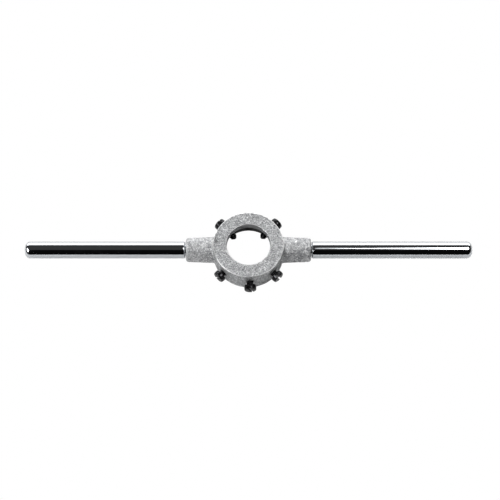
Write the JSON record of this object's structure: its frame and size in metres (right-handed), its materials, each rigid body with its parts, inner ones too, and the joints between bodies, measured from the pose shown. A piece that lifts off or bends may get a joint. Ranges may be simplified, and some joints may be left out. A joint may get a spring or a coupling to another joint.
{
  "type": "die stock",
  "caption": "Hand stock for a round threading die: a ring with a stepped pocket and radial slotted clamping screws, and two tapered bosses holding straight round bright handles.",
  "frame": {"origin": "where the die's axis crosses the handles' centreline, which is within 1 mm of the centroid", "axes": "+X along the right-hand handle, +Z along the die's axis out of the guide face (the face with the smaller hole), -Z out of the die pocket, -Y towards the spreading screw"},
  "size_m": [0.315, 0.0557, 0.0194],
  "materials": {
    "cast_zinc": "matte",
    "chromed_steel": "polished",
    "black_oxide_steel": "satin"
  },
  "bodies": {
    "stock": {"stock_body": "cast_zinc", "left_handle": "chromed_steel", "right_handle": "chromed_steel"},
    "holding_screw_right": {"holding_screw_right": "black_oxide_steel"},
    "holding_screw_left": {"holding_screw_left": "black_oxide_steel"},
    "closing_screw_left": {"closing_screw_left": "black_oxide_steel"},
    "spreading_screw": {"spreading_screw": "black_oxide_steel"},
    "closing_screw_right": {"closing_screw_right": "black_oxide_steel"}
  },
  "joints": [
    {"name": "holding_screw_right_travel", "type": "slide", "parent": "stock", "child": "holding_screw_right", "axis": [-0.6972, -0.7169, 0], "range_m": [-0.0062, 0.002]},
    {"name": "holding_screw_left_travel", "type": "slide", "parent": "stock", "child": "holding_screw_left", "axis": [0.7133, -0.7009, 0], "range_m": [-0.0063, 0.0019]},
    {"name": "closing_screw_left_travel", "type": "slide", "parent": "stock", "child": "closing_screw_left", "axis": [0.7071, 0.7071, 0], "range_m": [-0.0061, 0.0021]},
    {"name": "spreading_screw_travel", "type": "slide", "parent": "stock", "child": "spreading_screw", "axis": [-0.0436, 0.999, 0], "range_m": [-0.0056, 0.0026]},
    {"name": "closing_screw_right_travel", "type": "slide", "parent": "stock", "child": "closing_screw_right", "axis": [-0.7071, 0.7071, 0], "range_m": [-0.006, 0.0022]}
  ]
}
